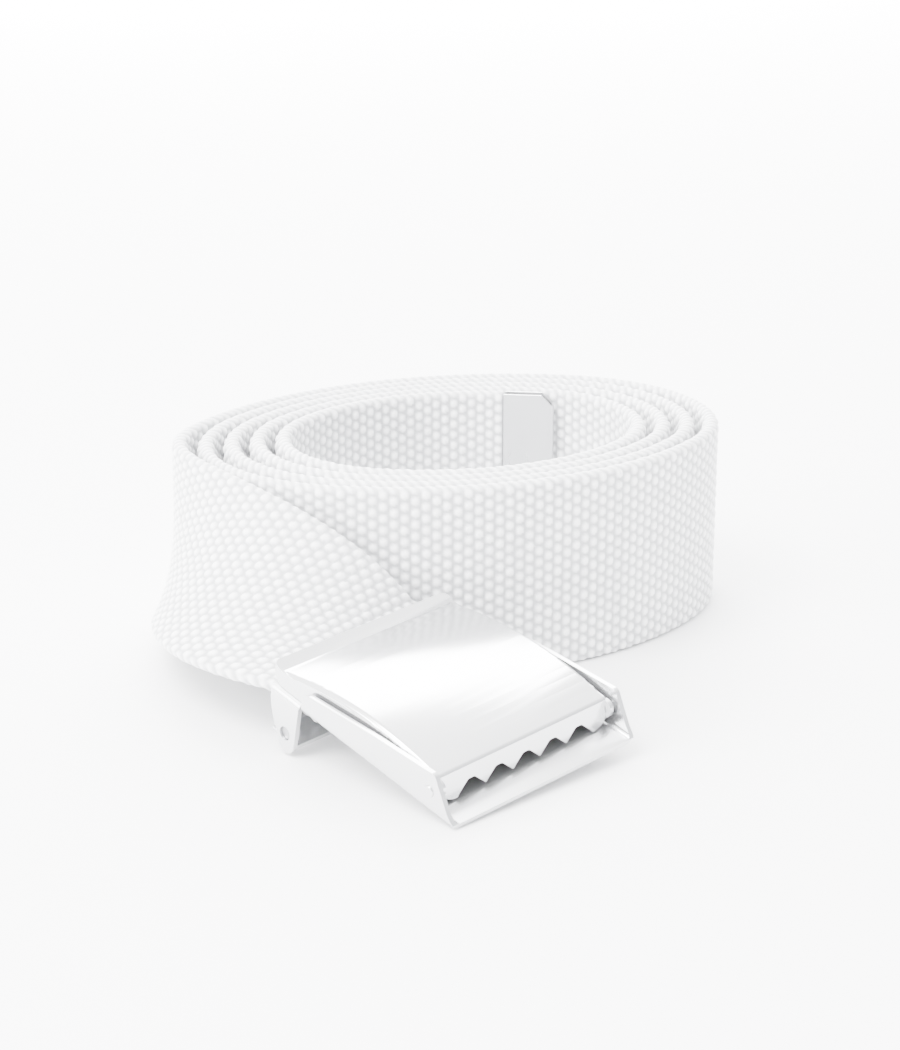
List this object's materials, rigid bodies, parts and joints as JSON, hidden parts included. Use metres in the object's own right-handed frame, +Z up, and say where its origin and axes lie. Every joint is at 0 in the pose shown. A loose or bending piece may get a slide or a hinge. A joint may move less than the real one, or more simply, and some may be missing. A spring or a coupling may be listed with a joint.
{
  "type": "web belt with cam buckle",
  "caption": "Rolled cotton web belt on edge, with a flip-top cam buckle clamped to one end and a folded metal tip on the other.",
  "frame": {"origin": "centre of the whole part's plan box, on the surface that the coil stands on", "axes": "+Z up, along the strap's width in the coil; +X to the right along the coil's long side; +Y from the buckle towards the coil"},
  "size_m": [0.113, 0.1532, 0.0394],
  "materials": {
    "webbing": "matte heavy cotton weave",
    "cover_metal": "bright nickel plate, smooth",
    "buckle_metal": "bright nickel plate, lightly brushed",
    "tip_metal": "bright nickel plate",
    "pin_metal": "plain steel"
  },
  "bodies": {
    "root": {"webbing_coil": "webbing", "webbing_tail": "webbing", "webbing_fixed_end": "webbing", "tip_cap": "tip_metal", "buckle_base": "buckle_metal", "left_hinge_stub": "pin_metal", "right_hinge_stub": "pin_metal"},
    "cover": {"flip_cover": "cover_metal"},
    "jaw": {"clamp_jaw": "buckle_metal", "left_jaw_pin": "pin_metal", "right_jaw_pin": "pin_metal"}
  },
  "joints": [
    {"name": "cover_hinge", "type": "hinge", "parent": "root", "child": "cover", "pos_m": [0.01426, -0.05789, 0.0071], "axis": [0.7174, 0.6938, 0.0623], "range_deg": [0, 105]},
    {"name": "jaw_hinge", "type": "hinge", "parent": "root", "child": "jaw", "pos_m": [-0.01172, -0.03088, 0.00557], "axis": [-0.7174, -0.6938, -0.0623], "range_deg": [0, 60]}
  ]
}
